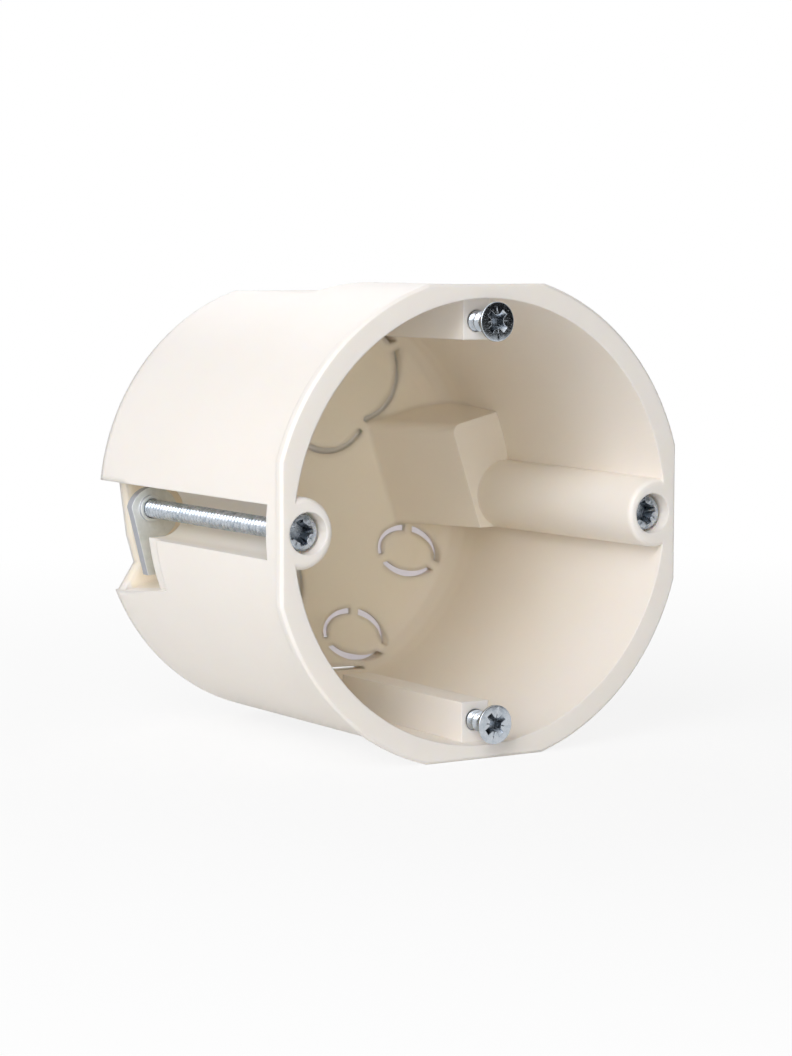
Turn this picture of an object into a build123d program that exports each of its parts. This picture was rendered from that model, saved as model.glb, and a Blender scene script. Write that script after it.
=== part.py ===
from build123d import *
import os

# Frame: X to the right, Y from the mouth into the wall, Z up, origin in the middle of the mouth.

# Cup that stands in the wall.
CUP_R = 35.4
CUP_DEPTH = 57.3
CUP_WALL = 2.0
BACK_WALL = 1.0
CORNER_R = 6.0
CORNER_FLATS = 4
DRAFT = 0.5
BORE_R = CUP_R - CUP_WALL
FLOOR_Y = CUP_DEPTH - BACK_WALL

# Rim round the mouth: a thin lip with four flats, so that boxes can stand side by side.
RIM_LIP = 1.6
RIM_FLAT_LIP = 0.1
RIM_DEPTH = 1.5
EDGE = 0.4

# Flat steps in the top and the bottom of the cup, from mid depth to the back.
STEP_DROP = 1.6
STEP_L = 24.2
STEP_WALL = 1.8
STEP_Z = CUP_R - STEP_DROP
STEP_Y = CUP_DEPTH - STEP_L

# Claw screws at nine and three o'clock, sunk in bosses that are flush with the rim.
CLAW_IN = 4.4
CLAW_X = CUP_R - CLAW_IN
HEAD_SEAT_Y = 3.3
SEAT_T = 1.3
HEAD_GAP = 0.4
CLAW_SCREW_R = 1.5
CLAW_HEAD_R = 2.7
CLAW_HEAD_H = 1.5

# Rib along each claw screw, with a rounded front edge, and the open channel in it.
RIB_OUT = 1.0
RIB_R = 5.3
RIB_WALL = 1.3
RIB_EDGE = 0.9
RIB_EDGE_FLATS = 3
RIB_X = CLAW_X + RIB_OUT
CHANNEL_R = RIB_R - RIB_WALL
CHANNEL_Y = HEAD_SEAT_Y + SEAT_T

# Wedge-shaped bulge into the cup, hollowed as the pocket in which a claw lies folded.
# Its inner face starts BULGE_IN from the screw's axis, spreads with depth and leans with height.
PLATE_T = 2.5
BULGE_L = 16.0
BULGE_IN = 4.1
BULGE_SPREAD = 0.464
BULGE_LEAN = 0.339
BULGE_TOP = 5.4
BULGE_LOW = 11.6
BULGE_FALL = 0.24
BULGE_R = 1.5
POCKET_WALL = 1.6
OUTSIDE = CLAW_IN + 2 * CUP_WALL
BULGE_Y = CUP_DEPTH - BULGE_L
POCKET_Y = BULGE_Y + POCKET_WALL
POCKET_END = CUP_DEPTH - PLATE_T
POCKET_LOW = BULGE_LOW - POCKET_WALL

# Shallow relief in the outside of the cup in front of the pocket, and the notch in the plate behind it.
# Notch outline: how far in from the screw's axis, and how far up.
RELIEF_L = 4.2
RELIEF_Y = POCKET_Y - RELIEF_L
NOTCH = [(-8.9, 4.0), (-0.9, 4.0), (0.3, -5.0), (1.6, -9.4), (-1.1, -13.5), (-8.9, -15.4)]

# Claw: a stamped plate with a drawn collar that is threaded for its screw.
CLAW_CLEAR = 5.1
CLAW_T = 1.6
CLAW_DISC_R = 4.15
CLAW_DISC_IN = 0.6
CLAW_DISC_DROP = 0.8
CLAW_BLANK = [(-4.7, 5.5), (-0.6, -10.6), (5.5, -10.6), (5.5, 5.5)]
CLAW_ARM = [(-3.4, 0.2), (-3.0, -1.2), (-0.6, -10.6), (0.7, -10.5), (0.0, -4.6), (0.0, 0.0)]
COLLAR_R = 2.1
COLLAR_L = 0.6
CLAW_Y = POCKET_END - CLAW_CLEAR - CLAW_T
TAIL_CLEAR = 3.6
CLAW_SCREW_END = POCKET_END - TAIL_CLEAR

# Device screws at twelve and six o'clock, 60 mm apart, and their bosses.
DEVICE_IN = 3.4
DEVICE_Z = BORE_R - DEVICE_IN
DEVICE_BOSS_HALF = 2.4
DEVICE_BOSS_LOW = 2.8
DEVICE_BOSS_Y = 3.0
DEVICE_BOSS_TAIL = 4.0
DEVICE_BOSS_END = STEP_Y + DEVICE_BOSS_TAIL
DEVICE_HOLE_CLOSE = 7.0
DEVICE_HOLE_END = DEVICE_BOSS_END - DEVICE_HOLE_CLOSE
DEVICE_SCREW_R = 1.6
DEVICE_HEAD_R = 2.95
DEVICE_HEAD_OUT = 2.5
DEVICE_HEAD_H = 1.7
DEVICE_LAND = 0.35
DEVICE_TIP_R = 0.4
DEVICE_TIP_CLEAR = 5.0
DEVICE_SCREW_END = DEVICE_HOLE_END - DEVICE_TIP_CLEAR

RUN_GAP = 0.06

# Cross recess of the screws.
CROSS_W = 0.75
CROSS_L = 3.0
CROSS_DEPTH = 1.0

# Knock-outs in the back: ring-shaped slots bridged by webs, with their places as shares of the bore's radius.
# The ovals are cut through and the two-lobed one is a groove.
SLOT_W = 1.0
GROOVE_DEPTH = 0.6
WEB_W = 1.5
OVAL_A = 5.6
OVAL_B = 3.8
OVAL_TILT = -17.0
OVALS = [(0.666, -0.310), (0.345, -0.714)]
OVAL_WEBS = [105, 208, -12]
LOBE_R = 7.9
LOBES = [(0.366, 0.598), (0.198, 0.451)]
LOBE_WEBS = [(34, 150), (214, 330)]
FOOT_SLIT = (0.73, 0.015)
FOOT_SLIT_Z = 0.876

HALF_TURN = Rot(0, 180, 0)


def across(y):
    """Plane across the box at depth y, with X to the right and Z up."""
    return Plane(origin=(0, y, 0), x_dir=(1, 0, 0), z_dir=(0, -1, 0))


def slab(sketch, y0, y1):
    """Solid of one outline drawn across the box, from depth y0 to y1."""
    return extrude(across(y0) * sketch, amount=y1 - y0, dir=(0, 1, 0))


def by_claw(outline):
    """Outline drawn from the left claw screw's axis."""
    return Polygon(*[(x - CLAW_X, z) for x, z in outline], align=None)


def wedge(y0, y1, top, low, wall):
    """Wedge between two depths, its inner face lying one wall behind that of the bulge."""
    faces = []
    for y in (y0, y1):
        inset = wall * (1 + BULGE_SPREAD ** 2 + BULGE_LEAN ** 2) ** 0.5
        start = BULGE_IN + BULGE_SPREAD * (y - BULGE_Y) - inset
        upper = start + BULGE_LEAN * (BULGE_TOP - top)
        lower = start + BULGE_LEAN * (BULGE_TOP + low)
        outer = -low - BULGE_FALL * (lower + OUTSIDE)
        corners = [(-OUTSIDE, top), (upper, top), (lower, -low), (-OUTSIDE, outer)]
        faces.append(across(y) * by_claw(corners))
    return loft(faces, ruled=True)


def twice(solid):
    """A feature together with its twin, half a turn round the box."""
    return solid + HALF_TURN * solid


def cross_recess(x, y, z):
    """Cross recess of a screw whose head faces the mouth."""
    cross = Rectangle(CROSS_L, CROSS_W) + Rectangle(CROSS_W, CROSS_L)
    return slab(Pos(x, z) * cross, y - CROSS_DEPTH, y + CROSS_DEPTH)


def ring_slot(outer, inner, webs, end_y):
    """Slot between two outlines into the back, as deep as end_y and left whole at the webs."""
    sketch = outer - inner
    for spot, turn in webs:
        sketch -= Pos(spot.X, spot.Y) * Rot(0, 0, turn) * Rectangle(4 * SLOT_W, WEB_W)
    return slab(sketch, FLOOR_Y - CORNER_R, end_y)


def oval_slot(share_x, share_z):
    """Oval knock-out slot for a cable."""
    middle = Vector(share_x, share_z, 0) * BORE_R
    place = Pos(middle.X, middle.Y) * Rot(0, 0, OVAL_TILT)
    outer = place * Ellipse(OVAL_A + SLOT_W / 2, OVAL_B + SLOT_W / 2)
    inner = place * Ellipse(OVAL_A - SLOT_W / 2, OVAL_B - SLOT_W / 2)
    webs = []
    for turn in OVAL_WEBS:
        ray = Vector(1, 0, 0).rotate(Axis.Z, turn)
        reach = 1 / ((ray.X / OVAL_A) ** 2 + (ray.Y / OVAL_B) ** 2) ** 0.5
        webs.append((middle + (ray * reach).rotate(Axis.Z, OVAL_TILT), turn + OVAL_TILT))
    return ring_slot(outer, inner, webs, CUP_DEPTH + BACK_WALL)


def lobed_slot():
    """Two-lobed knock-out groove for a conduit."""
    outer = Sketch()
    inner = Sketch()
    webs = []
    for (share_x, share_z), turns in zip(LOBES, LOBE_WEBS):
        middle = Vector(share_x, share_z, 0) * BORE_R
        outer += Pos(middle.X, middle.Y) * Circle(LOBE_R + SLOT_W / 2)
        inner += Pos(middle.X, middle.Y) * Circle(LOBE_R - SLOT_W / 2)
        for turn in turns:
            webs.append((middle + Vector(LOBE_R, 0, 0).rotate(Axis.Z, turn), turn))
    return ring_slot(outer, inner, webs, FLOOR_Y + GROOVE_DEPTH)


def foot_slit():
    """Narrow straight slot near the edge of the back."""
    long, high = FOOT_SLIT
    sketch = Pos(0, BORE_R * FOOT_SLIT_Z) * Rectangle(BORE_R * long, BORE_R * high)
    return slab(sketch, FLOOR_Y - CORNER_R, CUP_DEPTH + BACK_WALL)


def flat_step(z, y):
    """Block above height z, from depth y past the back."""
    block = Box(2 * CUP_R, CUP_DEPTH, CUP_R, align=(Align.CENTER, Align.MIN, Align.MIN))
    return Pos(0, y, z) * block


def cup_shell():
    """Rim and cup with the bore, before ribs and channels."""
    flats = CUP_R + RIM_FLAT_LIP
    rim = slab(Circle(CUP_R + RIM_LIP) & Rectangle(2 * flats, 2 * flats), 0, RIM_DEPTH)
    rim = chamfer(rim.faces().sort_by(Axis.Y)[0].edges(), EDGE)
    cup = slab(Circle(CUP_R), RIM_DEPTH, CUP_DEPTH)
    corner = []
    for i in range(CORNER_FLATS + 1):
        spoke = Vector(CORNER_R, 0, 0).rotate(Axis.Z, 90 * i / CORNER_FLATS)
        corner.append((BORE_R - DRAFT - CORNER_R + spoke.X, FLOOR_Y - CORNER_R + spoke.Y))
    front_y = -RIM_DEPTH
    outline = Polygon((0, front_y), (BORE_R, front_y), (BORE_R, 0), *corner, (0, FLOOR_Y), align=None)
    bore = revolve(outline, Axis.Y)
    ledge = flat_step(STEP_Z - STEP_WALL, STEP_Y - STEP_WALL)
    return rim + cup - (bore - twice(ledge))


def claw_rib(end_y):
    """Rib along the left claw screw, with a rounded front edge flush with the rim."""
    edge = []
    for i in range(RIB_EDGE_FLATS + 1):
        spoke = Vector(0, -RIB_EDGE, 0).rotate(Axis.Z, 90 * i / RIB_EDGE_FLATS)
        edge.append((RIB_R - RIB_EDGE + spoke.X, RIB_EDGE + spoke.Y))
    outline = Polygon((0, 0), *edge, (RIB_R + DRAFT, end_y), (0, end_y), align=None)
    return Pos(-RIB_X, 0, 0) * revolve(outline, Axis.Y)


def box_body():
    """The moulded cup with all that is moulded in one with it."""
    back_y = CUP_DEPTH - BACK_WALL / 2
    core = slab(Circle(CUP_R - CUP_WALL / 2), 0, back_y)
    rib = claw_rib(back_y)
    bulge = wedge(BULGE_Y, back_y, BULGE_TOP, BULGE_LOW, 0)
    long_edges = bulge.edges().filter_by(Axis.Y, reverse=True).filter_by(Plane.XZ, reverse=True)
    bulge = fillet(long_edges.sort_by(Axis.X)[-1], BULGE_R)
    boss_low = Pos(0, DEVICE_Z - DEVICE_BOSS_LOW)
    boss_outline = Rectangle(2 * DEVICE_BOSS_HALF, CUP_R / 2, align=(Align.CENTER, Align.MIN))
    boss = slab(boss_low * boss_outline, DEVICE_BOSS_Y, DEVICE_BOSS_END)
    body = cup_shell()
    for feature in (rib, bulge, boss):
        body += twice(feature & core)

    open_side = Rectangle(2 * CUP_WALL + CHANNEL_R, 2 * CHANNEL_R, align=(Align.MAX, Align.CENTER))
    channel = slab(Pos(-RIB_X, 0) * (Circle(CHANNEL_R) + open_side), CHANNEL_Y, POCKET_END)
    pocket = wedge(POCKET_Y, POCKET_END, CHANNEL_R, POCKET_LOW, POCKET_WALL)
    relief = wedge(RELIEF_Y, POCKET_Y, CHANNEL_R, POCKET_LOW, POCKET_WALL)
    relief -= slab(Circle(CUP_R - CUP_WALL / 2), 0, CUP_DEPTH)
    notch = slab(by_claw(NOTCH), POCKET_END - CLAW_T, CUP_DEPTH + PLATE_T)
    head_hole = slab(Pos(-CLAW_X, 0) * Circle(CLAW_HEAD_R + HEAD_GAP), -RIM_DEPTH, HEAD_SEAT_Y)
    shank_hole = slab(Pos(-CLAW_X, 0) * Circle(CLAW_SCREW_R + RUN_GAP), 0, CHANNEL_Y + SEAT_T)
    device_hole = slab(Pos(0, DEVICE_Z) * Circle(DEVICE_SCREW_R + RUN_GAP), 0, DEVICE_HOLE_END)
    step = flat_step(STEP_Z, STEP_Y)
    for cut in (channel, pocket, relief, notch, head_hole, shank_hole, device_hole, step, lobed_slot(), foot_slit()):
        body -= twice(cut)
    for share_x, share_z in OVALS:
        body -= twice(oval_slot(share_x, share_z))
    return body


def claw_screw():
    """Claw screw at nine o'clock, seated in its boss."""
    head_y = HEAD_SEAT_Y - CLAW_HEAD_H
    head = slab(Pos(-CLAW_X, 0) * Circle(CLAW_HEAD_R), head_y, HEAD_SEAT_Y)
    head = chamfer(head.edges().sort_by(Axis.Y)[0], EDGE)
    shank = slab(Pos(-CLAW_X, 0) * Circle(CLAW_SCREW_R), HEAD_SEAT_Y, CLAW_SCREW_END)
    return head + shank - cross_recess(-CLAW_X, head_y, 0)


def claw():
    """Claw at nine o'clock, folded in its pocket with the arm down."""
    disc = Pos(CLAW_DISC_IN - CLAW_X, -CLAW_DISC_DROP) * Circle(CLAW_DISC_R)
    plate = slab((disc & by_claw(CLAW_BLANK)) + by_claw(CLAW_ARM), CLAW_Y, CLAW_Y + CLAW_T)
    collar = slab(Pos(-CLAW_X, 0) * Circle(COLLAR_R), CLAW_Y - COLLAR_L, CLAW_Y)
    bore = slab(Pos(-CLAW_X, 0) * Circle(CLAW_SCREW_R + RUN_GAP), CLAW_Y - CLAW_T, CLAW_Y + 2 * CLAW_T)
    return plate + collar - bore


def device_screw():
    """Device screw at twelve o'clock, driven part of the way."""
    shank_r = DEVICE_SCREW_R
    head_y = -DEVICE_HEAD_OUT
    end_y = DEVICE_SCREW_END
    profile = Polygon((0, head_y), (DEVICE_HEAD_R, head_y), (DEVICE_HEAD_R, head_y + DEVICE_LAND),
                      (shank_r, head_y + DEVICE_HEAD_H), (shank_r, end_y - shank_r), (DEVICE_TIP_R, end_y),
                      (0, end_y), align=None)
    return Pos(0, 0, DEVICE_Z) * revolve(profile, Axis.Y) - cross_recess(0, head_y, DEVICE_Z)


os.makedirs("parts", exist_ok=True)
nodes = {
    "box_body": box_body(),
    "left_claw_screw": claw_screw(),
    "right_claw_screw": HALF_TURN * claw_screw(),
    "left_claw": claw(),
    "right_claw": HALF_TURN * claw(),
    "top_device_screw": device_screw(),
    "bottom_device_screw": HALF_TURN * device_screw(),
}
for name, solid in nodes.items():
    export_step(solid, f"parts/{name}.step")
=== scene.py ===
"""Looks of a hollow-wall electrical device box: a moulded cup with zinc-plated screws and claws.

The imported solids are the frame. The cup keeps its solid and gets its plastic here. The four screws
are turned again with their threads and cross recesses, the claws get rounded edges, and thin skins
close the oval slots in the back.
"""
import logging
import math
from dataclasses import dataclass
from enum import Enum
from typing import ClassVar, Sequence

import bmesh
import bpy
from mathutils import Matrix, Vector


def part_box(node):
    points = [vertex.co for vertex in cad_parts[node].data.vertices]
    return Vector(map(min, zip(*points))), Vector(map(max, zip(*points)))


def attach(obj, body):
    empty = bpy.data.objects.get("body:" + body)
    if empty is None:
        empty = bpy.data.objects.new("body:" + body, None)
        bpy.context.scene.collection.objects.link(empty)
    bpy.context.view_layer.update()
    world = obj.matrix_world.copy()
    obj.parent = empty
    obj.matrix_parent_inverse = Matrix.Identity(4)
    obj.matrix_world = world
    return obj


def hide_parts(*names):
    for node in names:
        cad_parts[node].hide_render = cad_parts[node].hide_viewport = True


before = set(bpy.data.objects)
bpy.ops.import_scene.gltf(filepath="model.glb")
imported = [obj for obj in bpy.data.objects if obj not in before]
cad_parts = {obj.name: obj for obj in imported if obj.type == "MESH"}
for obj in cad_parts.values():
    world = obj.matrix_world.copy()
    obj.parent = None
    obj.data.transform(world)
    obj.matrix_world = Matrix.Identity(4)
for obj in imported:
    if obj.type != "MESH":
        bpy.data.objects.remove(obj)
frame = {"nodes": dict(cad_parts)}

MM = 0.001
LOG = logging.getLogger("device_box")

# Rays that rounded edges and the painted shade in hollows take at each point they are shaded.
EDGE_SAMPLES = 6
PAINTED_SHADE_SAMPLES = 8
POLYPROPYLENE_IOR = 1.49
# Edges of turned and moulded pieces that bend by less than this look smooth.
SMOOTH_DEG = 40.0

# Depth and radius of a turned row, in millimetres.
Row = tuple[float, float]
# Lowest and highest value.
Range = tuple[float, float]
Point = tuple[float, float, float]


def linear(code: str) -> tuple[float, float, float, float]:
    """Turn an sRGB hex colour into the linear colour that shaders take.

    Args:
        code: Colour such as "#F1ECE1".

    Returns:
        Linear red, green and blue, and an alpha of 1.
    """
    channels = [int(code.lstrip("#")[i:i + 2], 16) / 255 for i in (0, 2, 4)]
    red, green, blue = [c / 12.92 if c <= 0.04045 else ((c + 0.055) / 1.055) ** 2.4
                        for c in channels]
    return red, green, blue, 1.0


def add_node(tree: bpy.types.NodeTree, kind: str, settings: dict[str, object] | None = None,
             **sockets: object) -> bpy.types.Node:
    """Add a node, set its properties, and set or link its inputs.

    Args:
        tree: Node tree that takes the node.
        kind: Blender's name of the node type.
        settings: Properties of the node, by name.
        **sockets: Inputs by name, with _ for a blank. An output socket is linked, and anything
            else is set.

    Returns:
        The new node.
    """
    node = tree.nodes.new(kind)
    for name, value in (settings or {}).items():
        setattr(node, name, value)
    for name, value in sockets.items():
        wanted = name.replace("_", " ").lower()
        socket = next(s for s in node.inputs if s.enabled and s.name.lower() == wanted)
        if isinstance(value, bpy.types.NodeSocket):
            tree.links.new(value, socket)
        else:
            socket.default_value = value
    return node


def new_material(name: str) -> tuple[bpy.types.Material, bpy.types.NodeTree, bpy.types.Node]:
    """Make a material with an empty node tree and its output.

    Args:
        name: Name of the finish.

    Returns:
        The material, its node tree and the output node.
    """
    material = bpy.data.materials.new(name)
    material.use_nodes = True
    tree = material.node_tree
    tree.nodes.clear()
    return material, tree, tree.nodes.new("ShaderNodeOutputMaterial")


def per_mm(size: float) -> float:
    """Texture scale for features about this many millimetres across, in object coordinates."""
    return 1.0 / (size * MM)


@dataclass(frozen=True)
class MouldedPolypropylene:
    """Cream polypropylene, injection moulded in a spark-eroded tool."""

    colour: str = "#F9F3EB"
    cloud_colour: str = "#F6EFE5"
    # Painted warm shade for the inside of the cup, towards the back.
    painted_warm_shade_colour: str = "#F9EEDB"
    roughness: Range = (0.41, 0.52)
    cloud_mm: float = 14.0
    grain_mm: float = 0.35
    grain_depth_mm: float = 0.012
    grain_strength: float = 0.5
    # The painted warm shade lies inside the bore. It comes up between these two depths, and it ends
    # within the back wall.
    bore_mm: Range = (33.4, 33.9)
    painted_shade_depth_mm: Range = (8.0, 52.3)
    back_wall_mm: Range = (56.5, 57.1)
    # Edges have the first radius before the foot of the wall, and the second behind it.
    edge_mm: Range = (0.3, 1.6)
    foot_mm: Range = (47.5, 49.5)
    bleed: float = 0.3
    bleed_mm: Point = (1.6, 1.3, 0.9)

    def make(self) -> bpy.types.Material:
        """Build the material.

        Returns:
            A satin cream plastic with soft edges, a faint grain and light that bleeds a little
            through its walls, with painted warm shade deep in the cup.
        """
        material, tree, output = new_material("polypropylene_moulded_cream")
        place = add_node(tree, "ShaderNodeTexCoord").outputs["Object"]
        # Polypropylene sets unevenly: broad, barely visible clouds where the melt cooled slower.
        cloud = add_node(tree, "ShaderNodeTexNoise", Vector=place, Scale=per_mm(self.cloud_mm),
                         Detail=3.0)
        skin = add_node(tree, "ShaderNodeMix", {"data_type": "RGBA"}, Factor=cloud.outputs["Fac"],
                        A=linear(self.colour), B=linear(self.cloud_colour))
        # Painted warm shade: light that comes through the wall or bounces down the cup is warmer, so
        # the inner skin is painted a shade deeper towards the back.
        depth = add_node(tree, "ShaderNodeSeparateXYZ", Vector=place)
        across = add_node(tree, "ShaderNodeMapping", Vector=place, Scale=(1.0, 0.0, 1.0))
        reach = add_node(tree, "ShaderNodeVectorMath", {"operation": "LENGTH"},
                         Vector=across.outputs["Vector"])
        inner = add_node(tree, "ShaderNodeMapRange", Value=reach.outputs["Value"],
                         From_Min=self.bore_mm[0] * MM, From_Max=self.bore_mm[1] * MM, To_Min=1.0,
                         To_Max=0.0)
        sunk = add_node(tree, "ShaderNodeMapRange", Value=depth.outputs["Y"],
                        From_Min=self.painted_shade_depth_mm[0] * MM, From_Max=self.painted_shade_depth_mm[1] * MM,
                        To_Min=0.0, To_Max=inner.outputs["Result"])
        inside = add_node(tree, "ShaderNodeMapRange", Value=depth.outputs["Y"],
                          From_Min=self.back_wall_mm[0] * MM, From_Max=self.back_wall_mm[1] * MM,
                          To_Min=sunk.outputs["Result"], To_Max=0.0)
        colour = add_node(tree, "ShaderNodeMix", {"data_type": "RGBA"},
                          Factor=inside.outputs["Result"], A=skin.outputs["Result"],
                          B=linear(self.painted_warm_shade_colour))
        # The spark-eroded tool gives a dull, even grain. The real one is about 0.05 mm, and it is
        # drawn coarser to show.
        grain = add_node(tree, "ShaderNodeTexNoise", Vector=place, Scale=per_mm(self.grain_mm),
                         Detail=2.0)
        rough = add_node(tree, "ShaderNodeMapRange", Value=grain.outputs["Fac"],
                         To_Min=self.roughness[0], To_Max=self.roughness[1])
        # Moulded edges are never sharp, and the foot of the wall is fully rounded.
        radius = add_node(tree, "ShaderNodeMapRange", Value=depth.outputs["Y"],
                          From_Min=self.foot_mm[0] * MM, From_Max=self.foot_mm[1] * MM,
                          To_Min=self.edge_mm[0] * MM, To_Max=self.edge_mm[1] * MM)
        edge = add_node(tree, "ShaderNodeBevel", {"samples": EDGE_SAMPLES},
                        Radius=radius.outputs["Result"])
        bump = add_node(tree, "ShaderNodeBump", Strength=self.grain_strength,
                        Distance=self.grain_depth_mm * MM, Height=grain.outputs["Fac"],
                        Normal=edge.outputs["Normal"])
        shader = add_node(tree, "ShaderNodeBsdfPrincipled", Base_Color=colour.outputs["Result"],
                          Roughness=rough.outputs["Result"], IOR=POLYPROPYLENE_IOR,
                          Normal=bump.outputs["Normal"], Subsurface_Weight=self.bleed,
                          Subsurface_Radius=self.bleed_mm, Subsurface_Scale=MM)
        tree.links.new(shader.outputs["BSDF"], output.inputs["Surface"])
        return material


@dataclass(frozen=True)
class PolypropyleneSkin:
    """The same polypropylene moulded as thin as film, where the melt only just fills the tool."""

    colour: str = "#F6F1F5"
    thick_colour: str = "#EBE5EB"
    cloud_mm: float = 1.6
    roughness: float = 0.4
    clearness: float = 0.7

    def make(self) -> bpy.types.Material:
        """Build the material.

        Returns:
            A milky film that lets daylight through and looks cool beside the warm wall.
        """
        material, tree, output = new_material("polypropylene_moulded_skin")
        place = add_node(tree, "ShaderNodeTexCoord").outputs["Object"]
        # So thin a skin varies in thickness, and it is milkier where it is thicker.
        cloud = add_node(tree, "ShaderNodeTexNoise", Vector=place, Scale=per_mm(self.cloud_mm),
                         Detail=2.0)
        colour = add_node(tree, "ShaderNodeMix", {"data_type": "RGBA"}, Factor=cloud.outputs["Fac"],
                          A=linear(self.colour), B=linear(self.thick_colour))
        shader = add_node(tree, "ShaderNodeBsdfPrincipled", Base_Color=colour.outputs["Result"],
                          Roughness=self.roughness, IOR=POLYPROPYLENE_IOR,
                          Transmission_Weight=self.clearness)
        tree.links.new(shader.outputs["BSDF"], output.inputs["Surface"])
        return material


@dataclass(frozen=True)
class ZincPlatedSteel:
    """Cold-headed steel with zinc plate and a blue passivation."""

    name: str = "steel_zinc_plated_bright"
    colour: str = "#C6CCD3"
    stain_colour: str = "#B2BBC4"
    # Painted shade for recesses and the thread's root.
    painted_shade_colour: str = "#1B252D"
    roughness: Range = (0.15, 0.28)
    stain_mm: float = 0.9
    stain_range: Range = (0.42, 0.72)
    painted_shade_reach_mm: float = 1.6
    painted_shade_range: Range = (0.3, 0.8)
    dent_mm: float = 0.3
    dent_range: Range = (0.3, 0.7)
    dent_depth_mm: float = 0.006
    dent_strength: float = 0.12
    edge_mm: float = 0.1

    def make(self) -> bpy.types.Material:
        """Build the material.

        Returns:
            A cool metal whose plate is slightly cloudy, as barrel-plated screws are, with painted
            shade in its hollows.
        """
        material, tree, output = new_material(self.name)
        place = add_node(tree, "ShaderNodeTexCoord").outputs["Object"]
        # Passivation dries in patches, so the blue comes and goes along the screw.
        stain = add_node(tree, "ShaderNodeTexNoise", Vector=place, Scale=per_mm(self.stain_mm),
                         Detail=3.0)
        patch = add_node(tree, "ShaderNodeMapRange", Value=stain.outputs["Fac"],
                         From_Min=self.stain_range[0], From_Max=self.stain_range[1])
        plate = add_node(tree, "ShaderNodeMix", {"data_type": "RGBA"},
                         Factor=patch.outputs["Result"], A=linear(self.colour),
                         B=linear(self.stain_colour))
        # Painted shade: the recess and the thread's root are painted dark where they are enclosed.
        painted_recess_shade = add_node(tree, "ShaderNodeAmbientOcclusion",
                          {"samples": PAINTED_SHADE_SAMPLES, "only_local": True},
                          Distance=self.painted_shade_reach_mm * MM)
        reach = add_node(tree, "ShaderNodeMapRange", Value=painted_recess_shade.outputs["AO"],
                         From_Min=self.painted_shade_range[0], From_Max=self.painted_shade_range[1])
        colour = add_node(tree, "ShaderNodeMix", {"data_type": "RGBA"},
                          Factor=reach.outputs["Result"], A=linear(self.painted_shade_colour),
                          B=plate.outputs["Result"])
        # Barrel plating tumbles the screws together and leaves fine dents, drawn coarser to show.
        dents = add_node(tree, "ShaderNodeTexNoise", Vector=place, Scale=per_mm(self.dent_mm),
                         Detail=4.0)
        rough = add_node(tree, "ShaderNodeMapRange", Value=dents.outputs["Fac"],
                         From_Min=self.dent_range[0], From_Max=self.dent_range[1],
                         To_Min=self.roughness[0], To_Max=self.roughness[1])
        edge = add_node(tree, "ShaderNodeBevel", {"samples": EDGE_SAMPLES},
                        Radius=self.edge_mm * MM)
        bump = add_node(tree, "ShaderNodeBump", Strength=self.dent_strength,
                        Distance=self.dent_depth_mm * MM, Height=dents.outputs["Fac"],
                        Normal=edge.outputs["Normal"])
        shader = add_node(tree, "ShaderNodeBsdfPrincipled", Base_Color=colour.outputs["Result"],
                          Metallic=1.0, Roughness=rough.outputs["Result"],
                          Normal=bump.outputs["Normal"])
        tree.links.new(shader.outputs["BSDF"], output.inputs["Surface"])
        return material


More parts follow.
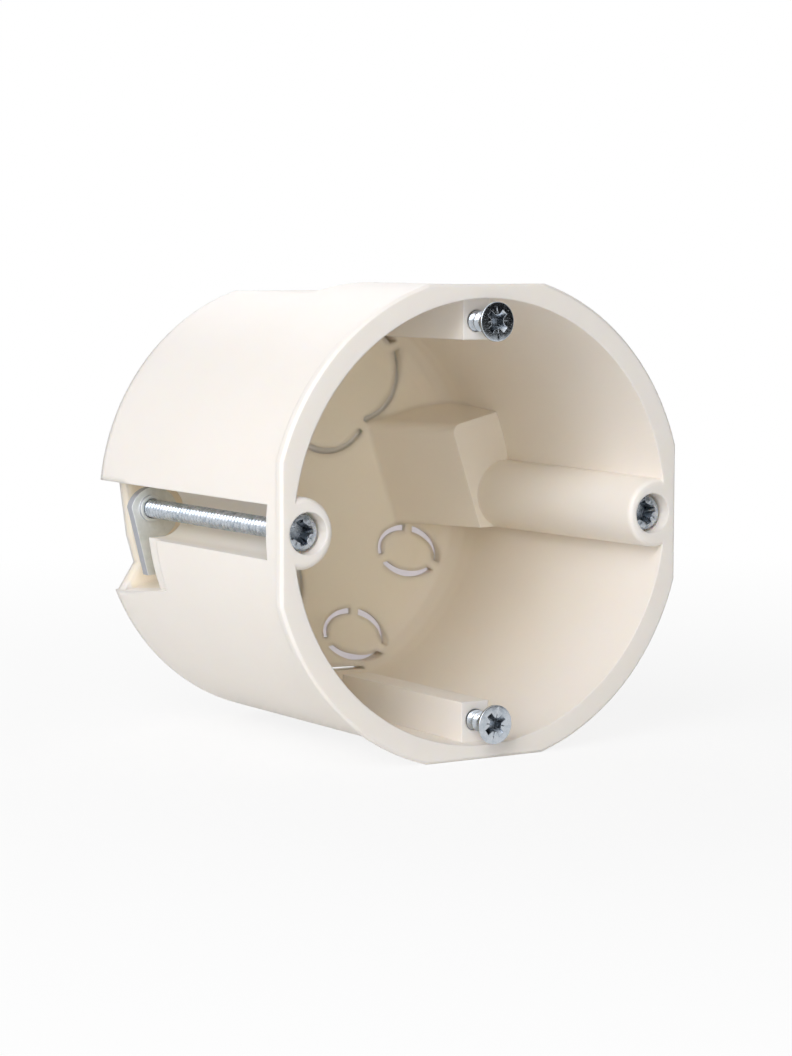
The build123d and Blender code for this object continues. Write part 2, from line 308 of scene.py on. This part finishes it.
@dataclass(frozen=True)
class ZincPlatedSheet:
    """Sheet steel, stamped to shape and zinc plated afterwards."""

    colour: str = "#EAEEEC"
    scuff_colour: str = "#DDE2DF"
    # Sheared edges: greyer, and painted darker still as a painted reflection.
    sheared_edge_painted_reflection_colour: str = "#AEB0B6"
    metallic: float = 0.7
    roughness: Range = (0.42, 0.62)
    scuff_mm: float = 0.9
    scuff_range: Range = (0.35, 0.75)
    line_mm: float = 0.225
    line_stretch: float = 0.18
    line_depth_mm: float = 0.012
    line_strength: float = 0.4
    face_range: Range = (0.3, 0.8)
    edge_mm: float = 0.18

    def make(self) -> bpy.types.Material:
        """Build the material.

        Returns:
            A pale, faintly green-grey metal with rolling lines, and sheared edges painted darker,
            partly as a painted reflection.
        """
        material, tree, output = new_material("steel_sheet_stamped_zinc")
        coords = add_node(tree, "ShaderNodeTexCoord")
        place = coords.outputs["Object"]
        # Rolling draws the grain of the sheet out along one direction. Drawn coarser to show.
        drawn = add_node(tree, "ShaderNodeMapping", Vector=place,
                         Scale=(1.0, 1.0, self.line_stretch))
        lines = add_node(tree, "ShaderNodeTexNoise", Vector=drawn.outputs["Vector"],
                         Scale=per_mm(self.line_mm), Detail=4.0)
        # The plate is scuffed in patches where the claws lay against each other.
        scuffs = add_node(tree, "ShaderNodeTexNoise", Vector=place, Scale=per_mm(self.scuff_mm),
                          Detail=4.0)
        patch = add_node(tree, "ShaderNodeMapRange", Value=scuffs.outputs["Fac"],
                         From_Min=self.scuff_range[0], From_Max=self.scuff_range[1])
        face = add_node(tree, "ShaderNodeMix", {"data_type": "RGBA"},
                        Factor=patch.outputs["Result"], A=linear(self.colour),
                        B=linear(self.scuff_colour))
        # The press shears the edges, which take less plate and are greyer than the two faces. Part
        # painted reflection: the edges are painted darker still, for the dark that they reflect.
        facing = add_node(tree, "ShaderNodeSeparateXYZ", Vector=coords.outputs["Normal"])
        flat = add_node(tree, "ShaderNodeMath", {"operation": "ABSOLUTE"},
                        Value=facing.outputs["Y"])
        broad = add_node(tree, "ShaderNodeMapRange", Value=flat.outputs["Value"],
                         From_Min=self.face_range[0], From_Max=self.face_range[1])
        colour = add_node(tree, "ShaderNodeMix", {"data_type": "RGBA"},
                          Factor=broad.outputs["Result"], A=linear(self.sheared_edge_painted_reflection_colour),
                          B=face.outputs["Result"])
        rough = add_node(tree, "ShaderNodeMapRange", Value=lines.outputs["Fac"],
                         To_Min=self.roughness[0], To_Max=self.roughness[1])
        edge = add_node(tree, "ShaderNodeBevel", {"samples": EDGE_SAMPLES},
                        Radius=self.edge_mm * MM)
        bump = add_node(tree, "ShaderNodeBump", Strength=self.line_strength,
                        Distance=self.line_depth_mm * MM, Height=lines.outputs["Fac"],
                        Normal=edge.outputs["Normal"])
        shader = add_node(tree, "ShaderNodeBsdfPrincipled", Base_Color=colour.outputs["Result"],
                          Metallic=self.metallic, Roughness=rough.outputs["Result"],
                          Normal=bump.outputs["Normal"])
        tree.links.new(shader.outputs["BSDF"], output.inputs["Surface"])
        return material


class Spot(Enum):
    """Where a piece sits on the rim, seen from the mouth."""

    LEFT = "left"
    RIGHT = "right"
    TOP = "top"
    BOTTOM = "bottom"


@dataclass
class CrossRecess:
    """Cross recess driven into a screw's head, with a short mark between each pair of wings."""

    turn_deg: float
    span_mm: float = 3.8
    wing_mm: float = 0.95
    wing_foot: float = 0.5
    depth_mm: float = 1.25
    hub_mm: float = 2.125
    hub_foot: float = 0.6
    hub_depth_share: float = 1.2
    mark_share: float = 0.9
    mark_mm: float = 0.14
    mark_depth_mm: float = 0.14
    mark_foot: float = 0.8
    # The cutter stands this far out of the head. It is wider there, and narrows to its foot.
    lift_mm: float = 0.3
    top_width: float = 1.06
    foot_width: float = 0.8

    def bar(self, mesh: bmesh.types.BMesh, long: float, wide: float, deep: float, foot: float,
            turn: float) -> None:
        """Add one tapered bar to a cutter, with its top above the head.

        Args:
            mesh: Cutter that takes the bar.
            long: Length across the head in millimetres.
            wide: Width in millimetres.
            deep: Depth below the head's face in millimetres.
            foot: Length at the bottom as a share of the length at the face.
            turn: Angle about the screw's axis in degrees.
        """
        spin = Matrix.Rotation(math.radians(turn), 3, "Y")
        top = 1 + (1 - foot) * self.lift_mm / deep
        rings = []
        ends = ((-self.lift_mm, top, self.top_width), (deep, foot, self.foot_width))
        for y, share, width in ends:
            half_l = long * share / 2
            half_w = wide * width / 2
            corners = [(-half_l, -half_w), (half_l, -half_w), (half_l, half_w), (-half_l, half_w)]
            rings.append([mesh.verts.new(spin @ Vector((x, y, z)) * MM) for x, z in corners])
        near, far = rings
        mesh.faces.new(near)
        mesh.faces.new(list(reversed(far)))
        for i in range(4):
            j = (i + 1) % 4
            mesh.faces.new([near[j], near[i], far[i], far[j]])

    def cutter(self) -> bpy.types.Object:
        """Make the solid that is cut out of a head whose face is at the origin.

        Returns:
            The cutter, to be placed on the head and removed after the cut.
        """
        mesh = bmesh.new()
        for turn in (self.turn_deg, self.turn_deg + 90):
            self.bar(mesh, self.span_mm, self.wing_mm, self.depth_mm, self.wing_foot, turn)
        hub_depth = self.hub_depth_share * self.depth_mm
        self.bar(mesh, self.hub_mm, self.hub_mm, hub_depth, self.hub_foot, self.turn_deg + 45)
        mark_long = self.mark_share * self.span_mm
        for turn in (self.turn_deg + 45, self.turn_deg + 135):
            self.bar(mesh, mark_long, self.mark_mm, self.mark_depth_mm, self.mark_foot, turn)
        bmesh.ops.recalc_face_normals(mesh, faces=mesh.faces)
        data = bpy.data.meshes.new("recess_cutter")
        mesh.to_mesh(data)
        mesh.free()
        cutter = bpy.data.objects.new("recess_cutter", data)
        bpy.context.scene.collection.objects.link(cutter)
        return cutter

    def cut(self, screw: bpy.types.Object, face_y_mm: float) -> None:
        """Cut the recess into the face of a screw that stands on the Y axis.

        Args:
            screw: Screw to cut, whose mesh is replaced.
            face_y_mm: Depth of the head's face.
        """
        cutter = self.cutter()
        cutter.location = (0, face_y_mm * MM, 0)
        step = screw.modifiers.new("recess", "BOOLEAN")
        step.operation = "DIFFERENCE"
        step.solver = "EXACT"
        step.use_self = True
        step.object = cutter
        bpy.context.view_layer.update()
        seen = screw.evaluated_get(bpy.context.evaluated_depsgraph_get())
        data = bpy.data.meshes.new_from_object(seen)
        screw.modifiers.clear()
        old = screw.data
        screw.data = data
        bpy.data.meshes.remove(old)
        bpy.data.objects.remove(cutter)


@dataclass
class Turned:
    """Body of revolution about an axis along Y, with a thread cut into part of it."""

    rows: list[Row]
    segments: int
    steps: int
    thread_start_mm: float
    thread_end_mm: float
    crest_mm: float
    root_mm: float
    pitch_mm: float
    root_share: float = 0.12
    crest_share: float = 0.1

    def profile(self, share: float) -> float:
        """Height of the thread along its pitch: a flat root, two flanks and a narrow crest.

        Args:
            share: Place along the pitch, from 0 to 1.

        Returns:
            Height as a share of the thread's depth.
        """
        tooth = 1 - abs(2 * share - 1)
        flank = 1 - self.root_share - self.crest_share
        return min(1.0, max(0.0, (tooth - self.root_share) / flank))

    def thread_radius(self, y: float, turn: float) -> float:
        """Radius of the threaded shank at a depth and an angle.

        Args:
            y: Depth in millimetres.
            turn: Angle about the axis in radians.

        Returns:
            Radius in millimetres.
        """
        share = (y / self.pitch_mm - turn / (2 * math.pi)) % 1.0
        fade = min(1.0, (y - self.thread_start_mm) / self.pitch_mm,
                   (self.thread_end_mm - y) / self.pitch_mm)
        return self.root_mm + (self.crest_mm - self.root_mm) * self.profile(share) * max(0.0, fade)

    def lines(self) -> list[tuple[float, float | None]]:
        """List the body's rings from the head to the tip.

        Returns:
            Depth and radius of each ring, with no radius where it is threaded.
        """
        length = self.thread_end_mm - self.thread_start_mm
        count = int(length / self.pitch_mm * self.steps)
        head = [row for row in self.rows if row[0] < self.thread_start_mm]
        thread = [(self.thread_start_mm + length * i / count, None) for i in range(count + 1)]
        tail = [row for row in self.rows if row[0] > self.thread_end_mm]
        return head + thread + tail

    def mesh(self, name: str) -> bpy.types.Mesh:
        """Turn the rows and the thread, and close both ends.

        Args:
            name: Name of the mesh.

        Returns:
            A closed mesh in metres, on the Y axis.
        """
        build = bmesh.new()
        rings = []
        for y, radius in self.lines():
            ring = []
            for i in range(self.segments):
                turn = 2 * math.pi * i / self.segments
                r = self.thread_radius(y, turn) if radius is None else radius
                spot = Vector((r * math.cos(turn), y, r * math.sin(turn)))
                ring.append(build.verts.new(spot * MM))
            rings.append(ring)
        for ring, after in zip(rings, rings[1:]):
            for i in range(self.segments):
                j = (i + 1) % self.segments
                build.faces.new([ring[i], ring[j], after[j], after[i]])
        for ring in (rings[0], rings[-1]):
            build.faces.new(ring)
        bmesh.ops.recalc_face_normals(build, faces=build.faces)
        data = bpy.data.meshes.new(name)
        build.to_mesh(data)
        build.free()
        return data


def smooth_by_angle(piece: bpy.types.Object, degrees: float) -> None:
    """Shade a piece smooth, apart from edges that turn by more than an angle.

    Args:
        piece: Piece to shade.
        degrees: Angle above which an edge stays sharp.
    """
    build = bmesh.new()
    build.from_mesh(piece.data)
    for face in build.faces:
        face.smooth = True
    for edge in build.edges:
        edge.smooth = edge.calc_face_angle(math.pi) < math.radians(degrees)
    build.to_mesh(piece.data)
    build.free()


def rounded(y0: float, r0: float, y1: float, r1: float, steps: int) -> list[Row]:
    """Rows of a quarter round from a face to a side.

    Args:
        y0: Depth where the face ends.
        r0: Radius where the face ends.
        y1: Depth where the side starts.
        r1: Radius where the side starts.
        steps: Number of rows after the first.

    Returns:
        Rows of depth and radius.
    """
    rows = []
    for i in range(steps + 1):
        angle = math.pi / 2 * i / steps
        rows.append((y0 + (y1 - y0) * (1 - math.cos(angle)), r0 + (r1 - r0) * math.sin(angle)))
    return rows


@dataclass
class ScrewPiece:
    """A screw of the box, turned on the Y axis and carried to its place."""

    # Last words of the name of its solid.
    KIND: ClassVar[str]
    spot: Spot
    finish: bpy.types.Material
    recess: CrossRecess
    # Radius of the small flat that closes the middle of the head's face.
    middle_mm: float = 0.4

    @property
    def node(self) -> str:
        """Name of the solid that the screw stands for."""
        return f"{self.spot.value}_{self.KIND}"

    def extent(self) -> tuple[float, float, float]:
        """Read the screw's length from its solid.

        Returns:
            Depth of the head's face, depth of the tip and radius of the head, in millimetres.
        """
        low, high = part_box(self.node)
        return low[1] / MM, high[1] / MM, (high[0] - low[0]) / 2 / MM

    def place(self, turned: Turned, face_y_mm: float) -> bpy.types.Object:
        """Cut the recess, dress the screw and set it on its axis.

        Args:
            turned: The screw's body of revolution.
            face_y_mm: Depth of the head's face.

        Returns:
            The finished piece, riding on its body in the solid's place.
        """
        name = f"{self.node}_turned"
        piece = bpy.data.objects.new(name, turned.mesh(name))
        bpy.context.scene.collection.objects.link(piece)
        self.recess.cut(piece, face_y_mm)
        low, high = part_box(self.node)
        axis = Vector(((low[0] + high[0]) / 2, 0, (low[2] + high[2]) / 2))
        piece.data.transform(Matrix.Translation(axis))
        smooth_by_angle(piece, SMOOTH_DEG)
        piece.data.materials.clear()
        piece.data.materials.append(self.finish)
        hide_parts(self.node)
        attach(piece, f"{self.node}_body")
        return piece


@dataclass
class ClawScrew(ScrewPiece):
    """Claw screw with a cheese head, sunk in its boss and reaching back to the claw."""

    KIND = "claw_screw"
    head_h_mm: float = 1.5
    crown_mm: float = 0.4
    crown_steps: int = 5
    broken_edge_mm: float = 0.05
    neck_mm: float = 1.2
    neck_gap_mm: float = 0.1
    crest_mm: float = 1.49
    root_mm: float = 1.15
    crest_share: float = 0.2
    # The real pitch is about 0.6 mm, drawn coarser so that the turns show.
    pitch_mm: float = 0.95
    point_mm: float = 0.3
    run_out_mm: float = 0.4

    def build(self) -> bpy.types.Object:
        """Turn the screw with its metric thread.

        Returns:
            The finished piece.
        """
        face, tip, radius = self.extent()
        seat = face + self.head_h_mm
        thread = seat + self.neck_mm
        rows = [(face, self.middle_mm)]
        rows += rounded(face, radius - self.crown_mm, face + self.crown_mm, radius,
                        self.crown_steps)
        rows += [(seat - self.broken_edge_mm, radius), (seat, radius - self.broken_edge_mm)]
        rows += [(seat, self.crest_mm), (thread - self.neck_gap_mm, self.crest_mm)]
        rows += [(tip - self.point_mm, self.root_mm), (tip, self.root_mm - self.point_mm)]
        turned = Turned(rows, segments=40, steps=12, thread_start_mm=thread,
                        thread_end_mm=tip - self.run_out_mm, crest_mm=self.crest_mm,
                        root_mm=self.root_mm, pitch_mm=self.pitch_mm, crest_share=self.crest_share)
        return self.place(turned, face)


@dataclass
class DeviceScrew(ScrewPiece):
    """Countersunk device screw, driven part of the way into its boss."""

    KIND = "device_screw"
    land_mm: float = 0.35
    land_round_mm: float = 0.1
    land_round_in_mm: float = 0.12
    land_steps: int = 3
    head_h_mm: float = 1.7
    # The cone runs into the shank in two steps, by these amounts wider than the thread's root.
    cone_end_mm: float = 0.12
    cone_end_grow_mm: float = 0.25
    neck_grow_mm: float = 0.1
    neck_mm: float = 0.15
    crest_mm: float = 1.59
    root_mm: float = 1.05
    root_share: float = 0.42
    pitch_mm: float = 1.45
    run_out_mm: float = 0.1
    point_mm: float = 1.5
    blunt_mm: float = 0.1
    blunt_wide_mm: float = 0.5
    blunt_narrow_mm: float = 0.35

    def build(self) -> bpy.types.Object:
        """Turn the screw with its coarse thread and blunt point.

        Returns:
            The finished piece.
        """
        face, tip, radius = self.extent()
        cone = face + self.head_h_mm
        point = tip - self.point_mm
        rows = [(face, self.middle_mm)]
        rows += rounded(face, radius - self.land_round_in_mm, face + self.land_round_mm, radius,
                        self.land_steps)
        rows += [(face + self.land_mm, radius),
                 (cone - self.cone_end_mm, self.root_mm + self.cone_end_grow_mm)]
        rows += [(cone, self.root_mm + self.neck_grow_mm), (point, self.root_mm)]
        rows += [(tip - self.blunt_mm, self.blunt_wide_mm), (tip, self.blunt_narrow_mm)]
        turned = Turned(rows, segments=48, steps=16, thread_start_mm=cone + self.neck_mm,
                        thread_end_mm=point - self.run_out_mm, crest_mm=self.crest_mm,
                        root_mm=self.root_mm, pitch_mm=self.pitch_mm, root_share=self.root_share)
        return self.place(turned, face)


@dataclass
class Claw:
    """Stamped claw that swings out behind the wall board, its edges broken by the press tool."""

    spot: Spot
    finish: bpy.types.Material
    edge_mm: float = 0.16
    edge_steps: int = 3
    weld_mm: float = 0.002
    flat_deg: float = 1.0
    sharp_deg: float = 50.0
    smooth_deg: float = 35.0

    def build(self, nodes: dict[str, bpy.types.Object]) -> bpy.types.Object:
        """Round the edges of the claw's plate.

        Args:
            nodes: Solids of the frame, by name.

        Returns:
            The finished piece.
        """
        node = f"{self.spot.value}_claw"
        build = bmesh.new()
        build.from_mesh(nodes[node].data)
        bmesh.ops.remove_doubles(build, verts=build.verts, dist=self.weld_mm * MM)
        bmesh.ops.dissolve_limit(build, angle_limit=math.radians(self.flat_deg), verts=build.verts,
                                 edges=build.edges)
        sharp = [e for e in build.edges if e.calc_face_angle(0.0) > math.radians(self.sharp_deg)]
        bmesh.ops.bevel(build, geom=sharp, offset=self.edge_mm * MM, segments=self.edge_steps,
                        profile=0.5, affect="EDGES", clamp_overlap=True)
        data = bpy.data.meshes.new(f"{node}_stamped")
        build.to_mesh(data)
        build.free()
        piece = bpy.data.objects.new(f"{node}_stamped", data)
        bpy.context.scene.collection.objects.link(piece)
        smooth_by_angle(piece, self.smooth_deg)
        data.materials.append(self.finish)
        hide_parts(node)
        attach(piece, f"{node}_body")
        return piece


@dataclass
class MouldedCup:
    """The moulded cup, which keeps its solid."""

    finish: bpy.types.Material
    node: str = "box_body"

    def dress(self, nodes: dict[str, bpy.types.Object]) -> bpy.types.Object:
        """Give the cup its plastic.

        Args:
            nodes: Solids of the frame, by name.

        Returns:
            The dressed solid.
        """
        cup = nodes[self.node]
        for slot in cup.material_slots:
            slot.material = self.finish
        return cup


@dataclass
class KnockoutSkins:
    """Thin skins that close the slots of the four oval knock-outs, moulded with the back wall."""

    finish: bpy.types.Material
    body: str = "box"
    long_mm: float = 5.6
    short_mm: float = 3.8
    tilt_deg: float = -17.0
    # The slot is 1 mm wide, and the skin runs a little into the wall on both sides.
    width_mm: float = 1.1
    depth_mm: Range = (57.0, 57.2)
    # Middles of two ovals across and up, as shares of the bore's radius. Half a turn gives the
    # other two.
    bore_mm: float = 33.4
    middles: tuple[tuple[float, float], ...] = ((0.666, -0.310), (0.345, -0.714))
    segments: int = 72

    def loop(self, build: bmesh.types.BMesh, middle: Vector, grow: float,
             y: float) -> list[bmesh.types.BMVert]:
        """Add one oval line of points.

        Args:
            build: Mesh that takes the points.
            middle: Middle of the oval on the plane of the rim, in millimetres.
            grow: How far the line lies outside the slot's middle line, in millimetres.
            y: Depth in millimetres.

        Returns:
            The points in order.
        """
        tilt = Matrix.Rotation(-math.radians(self.tilt_deg), 3, "Y")
        points = []
        for i in range(self.segments):
            turn = 2 * math.pi * i / self.segments
            across = (self.long_mm + grow) * math.cos(turn)
            up = (self.short_mm + grow) * math.sin(turn)
            points.append(build.verts.new((tilt @ Vector((across, y, up)) + middle) * MM))
        return points

    def ring(self, build: bmesh.types.BMesh, middle: Vector) -> None:
        """Add the skin of one oval.

        Args:
            build: Mesh that takes the skin.
            middle: Middle of the oval on the plane of the rim, in millimetres.
        """
        half = self.width_mm / 2
        near, far = self.depth_mm
        section = ((-half, near), (half, near), (half, far), (-half, far))
        loops = [self.loop(build, middle, grow, y) for grow, y in section]
        for line, after in zip(loops, loops[1:] + loops[:1]):
            for i in range(self.segments):
                j = (i + 1) % self.segments
                build.faces.new([line[i], line[j], after[j], after[i]])

    def build(self) -> bpy.types.Object:
        """Make the skins of both pairs of ovals.

        Returns:
            The finished piece.
        """
        build = bmesh.new()
        for across, up in self.middles:
            for side in (self.bore_mm, -self.bore_mm):
                self.ring(build, Vector((across * side, 0, up * side)))
        bmesh.ops.recalc_face_normals(build, faces=build.faces)
        data = bpy.data.meshes.new("knockout_skins")
        build.to_mesh(data)
        build.free()
        piece = bpy.data.objects.new("knockout_skins", data)
        bpy.context.scene.collection.objects.link(piece)
        smooth_by_angle(piece, SMOOTH_DEG)
        data.materials.append(self.finish)
        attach(piece, self.body)
        return piece


@dataclass(frozen=True)
class Lamp:
    """A round soft lamp that faces the box."""

    name: str
    watts: float
    width_m: float
    spot_m: Point
    colour: str = "#FAFAFF"
    aim_m: Point = (0.0, 0.01, 0.0)

    def hang(self) -> None:
        """Hang the lamp and turn it to the box."""
        data = bpy.data.lights.new(self.name, "AREA")
        data.shape = "DISK"
        data.size = self.width_m
        data.energy = self.watts
        data.color = linear(self.colour)[:3]
        lamp = bpy.data.objects.new(self.name, data)
        ahead = Vector(self.aim_m) - Vector(self.spot_m)
        turn = ahead.to_track_quat("-Z", "Y").to_matrix().to_4x4()
        lamp.matrix_world = Matrix.Translation(self.spot_m) @ turn
        bpy.context.scene.collection.objects.link(lamp)


@dataclass
class Studio:
    """Camera, lights and the white surroundings."""

    # Angles in radians, fitted to the photograph with the target and the focal length.
    azimuth: float = 0.56908
    elevation: float = 0.09608
    roll: float = 0.00219
    distance_mm: float = 450.0
    target_mm: Point = (-3.3097, 20.0, -2.2042)
    focal_px: float = 2919.58
    frame_px: float = 1056.0
    sensor_mm: float = 36.0
    nearest_m: float = 0.01
    # Strength of the white room as light, for rays that don't show it.
    fill: float = 0.3
    lamps: tuple[Lamp, ...] = (
        Lamp("side", 1.68, 0.45, (-0.58, -0.24, 0.26)),
        Lamp("key", 1.8, 0.40, (-0.40, -0.40, 0.45)),
        Lamp("front", 0.76, 0.30, (-0.35, -0.60, 0.06)),
        Lamp("rear", 0.8, 0.40, (0.20, 0.60, 0.36)),
    )
    floor_z_mm: float = -35.5
    floor_m: float = 6.0
    floor_colour: str = "#F4F4F2"
    # The floor is this much plain white, between these distances from the box.
    floor_white: Range = (0.85, 1.0)
    floor_fade_m: Range = (0.06, 0.3)
    card_colour: str = "#141414"
    card_m: tuple[float, float] = (0.30, 0.22)
    card_ahead: Point = (0.554, -0.827, 0.0)
    card_distance_m: float = 0.30
    card_height_m: float = 0.085

    def camera(self) -> None:
        """Stand the camera where the photograph was taken from."""
        lens = bpy.data.cameras.new("camera")
        lens.sensor_width = self.sensor_mm
        lens.lens = self.focal_px / self.frame_px * self.sensor_mm
        lens.clip_start = self.nearest_m
        level = math.cos(self.elevation)
        away = Vector((-math.sin(self.azimuth) * level, -math.cos(self.azimuth) * level,
                       math.sin(self.elevation)))
        eye = (Vector(self.target_mm) + away * self.distance_mm) * MM
        camera = bpy.data.objects.new("camera", lens)
        turn = (-away).to_track_quat("-Z", "Y").to_matrix().to_4x4()
        camera.matrix_world = Matrix.Translation(eye) @ turn @ Matrix.Rotation(self.roll, 4, "Z")
        bpy.context.scene.collection.objects.link(camera)
        bpy.context.scene.camera = camera

    def white_rays(self, tree: bpy.types.NodeTree) -> bpy.types.NodeSocket:
        """Tell rays that show the surroundings from rays that light the object.

        Args:
            tree: Node tree of the world or the floor.

        Returns:
            Socket that is 1 for camera, glossy and transmission rays.
        """
        path = add_node(tree, "ShaderNodeLightPath")
        seen = add_node(tree, "ShaderNodeMath", {"operation": "MAXIMUM"})
        tree.links.new(path.outputs["Is Camera Ray"], seen.inputs[0])
        tree.links.new(path.outputs["Is Glossy Ray"], seen.inputs[1])
        shown = add_node(tree, "ShaderNodeMath", {"operation": "MAXIMUM"})
        tree.links.new(seen.outputs["Value"], shown.inputs[0])
        tree.links.new(path.outputs["Is Transmission Ray"], shown.inputs[1])
        return shown.outputs["Value"]

    def world(self) -> None:
        """Surround the object with even white light."""
        world = bpy.data.worlds.new("white_room")
        bpy.context.scene.world = world
        world.use_nodes = True
        tree = world.node_tree
        tree.nodes.clear()
        strength = add_node(tree, "ShaderNodeMapRange", Value=self.white_rays(tree),
                            To_Min=self.fill, To_Max=1.0)
        back = add_node(tree, "ShaderNodeBackground", Color=linear("#FFFFFF"),
                        Strength=strength.outputs["Result"])
        output = add_node(tree, "ShaderNodeOutputWorld")
        tree.links.new(back.outputs["Background"], output.inputs["Surface"])

    def card(self, name: str, width: float, height: float, place: Matrix,
             finish: bpy.types.Material) -> bpy.types.Object:
        """Make a flat card.

        Args:
            name: Name of the card.
            width: Size along its own X in metres.
            height: Size along its own Y in metres.
            place: Where it stands.
            finish: Its material.

        Returns:
            The card.
        """
        data = bpy.data.meshes.new(name)
        corners = [(-width / 2, -height / 2, 0), (width / 2, -height / 2, 0),
                   (width / 2, height / 2, 0), (-width / 2, height / 2, 0)]
        data.from_pydata(corners, [], [(0, 1, 2, 3)])
        data.materials.append(finish)
        card = bpy.data.objects.new(name, data)
        card.matrix_world = place
        bpy.context.scene.collection.objects.link(card)
        return card

    def floor(self) -> None:
        """Lay a white floor that keeps a light shadow of the object."""
        material, tree, output = new_material("floor_paper_white")
        paper = add_node(tree, "ShaderNodeBsdfDiffuse", Color=linear(self.floor_colour))
        glow = add_node(tree, "ShaderNodeEmission", Color=linear("#FFFFFF"), Strength=1.0)
        # The paper turns plain white away from the object, so no line shows where it ends.
        place = add_node(tree, "ShaderNodeTexCoord").outputs["Object"]
        far = add_node(tree, "ShaderNodeVectorMath", {"operation": "LENGTH"}, Vector=place)
        fade = add_node(tree, "ShaderNodeMapRange", Value=far.outputs["Value"],
                        From_Min=self.floor_fade_m[0], From_Max=self.floor_fade_m[1],
                        To_Min=self.floor_white[0], To_Max=self.floor_white[1])
        share = add_node(tree, "ShaderNodeMath", {"operation": "MULTIPLY"})
        tree.links.new(self.white_rays(tree), share.inputs[0])
        tree.links.new(fade.outputs["Result"], share.inputs[1])
        both = add_node(tree, "ShaderNodeMixShader", Fac=share.outputs["Value"])
        tree.links.new(paper.outputs["BSDF"], both.inputs[1])
        tree.links.new(glow.outputs["Emission"], both.inputs[2])
        tree.links.new(both.outputs["Shader"], output.inputs["Surface"])
        place_below = Matrix.Translation((0, 0, self.floor_z_mm * MM))
        self.card("floor", self.floor_m, self.floor_m, place_below, material)

    def dark_card(self) -> None:
        """Stand a dark card before the mouth, which the flat screw heads reflect."""
        material, tree, output = new_material("card_black_matt")
        paint = add_node(tree, "ShaderNodeBsdfDiffuse", Color=linear(self.card_colour))
        tree.links.new(paint.outputs["BSDF"], output.inputs["Surface"])
        ahead = Vector(self.card_ahead).normalized()
        spot = ahead * self.card_distance_m + Vector((0, 0, self.card_height_m))
        turn = (-ahead).to_track_quat("Z", "Y").to_matrix().to_4x4()
        card = self.card("dark_card", *self.card_m, Matrix.Translation(spot) @ turn, material)
        card.visible_camera = False

    def build(self) -> None:
        """Set the view transform, and build camera, lights and surroundings."""
        bpy.context.scene.view_settings.view_transform = "Standard"
        self.camera()
        self.world()
        self.floor()
        self.dark_card()
        for lamp in self.lamps:
            lamp.hang()


def main() -> None:
    """Build the pieces in order and report them."""
    logging.basicConfig(level=logging.INFO, format="%(name)s: %(message)s")
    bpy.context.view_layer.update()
    nodes = frame["nodes"]
    plastic = MouldedPolypropylene().make()
    skin = PolypropyleneSkin().make()
    bright_zinc = ZincPlatedSteel().make()
    # The long screws are duller than the short ones, and cloudy along the thread.
    dull_zinc = ZincPlatedSteel("steel_zinc_plated_dull", stain_colour="#98A4AF",
                                roughness=(0.23, 0.36)).make()
    sheet = ZincPlatedSheet().make()

    pieces = [MouldedCup(plastic).dress(nodes), KnockoutSkins(skin).build()]
    for spot, turn in ((Spot.LEFT, -12.0), (Spot.RIGHT, -20.0)):
        recess = CrossRecess(turn, wing_mm=1.15, depth_mm=1.6, hub_mm=2.75)
        pieces.append(ClawScrew(spot, dull_zinc, recess).build())
        pieces.append(Claw(spot, sheet).build(nodes))
    for spot, turn in ((Spot.TOP, 42.0), (Spot.BOTTOM, 55.0)):
        pieces.append(DeviceScrew(spot, bright_zinc, CrossRecess(turn)).build())
    for piece in pieces:
        LOG.info("%s: %d faces", piece.name, len(piece.data.polygons))
    Studio().build()


if __name__ == "__main__":
    main()
